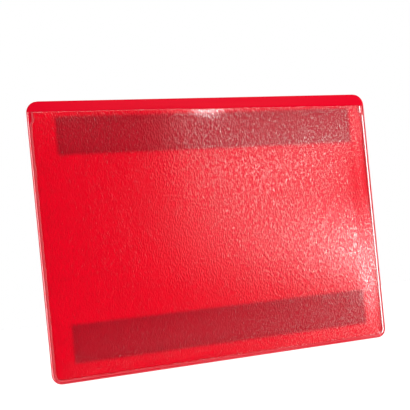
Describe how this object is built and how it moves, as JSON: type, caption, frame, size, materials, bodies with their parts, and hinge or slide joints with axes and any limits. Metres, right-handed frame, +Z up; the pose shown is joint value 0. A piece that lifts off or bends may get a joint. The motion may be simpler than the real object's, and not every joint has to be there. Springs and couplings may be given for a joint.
{
  "type": "magnetic label pouch",
  "caption": "Landscape label pouch with a red back and a clear front, welded round the sides and bottom, open at the top, with magnetic strips behind that hold it to steel.",
  "frame": {"origin": "centre of the pouch's outline, on the plane of the steel surface that the magnetic strips lie on", "axes": "+X right and +Z up as seen from the front; +Y backwards into the steel surface, so the clear front faces -Y and the open mouth is at +Z"},
  "size_m": [0.223, 0.0026, 0.163],
  "materials": {
    "red_film": "smooth red soft PVC film, slightly see-through, satin to glossy",
    "clear_film": "clear soft PVC film with a fine embossed grain",
    "welded_film": "clear film fused on to red film, smooth and glossy",
    "magnet_rubber": "dark brown ferrite-filled rubber, matt",
    "adhesive": "pale double-sided tape"
  },
  "bodies": {
    "root": {"back_sheet": "red_film", "front_sheet": "clear_film", "left_weld": "welded_film", "right_weld": "welded_film", "bottom_weld": "welded_film", "upper_magnetic_strip": "magnet_rubber", "lower_magnetic_strip": "magnet_rubber", "upper_adhesive_tape": "adhesive", "lower_adhesive_tape": "adhesive"}
  },
  "joints": []
}
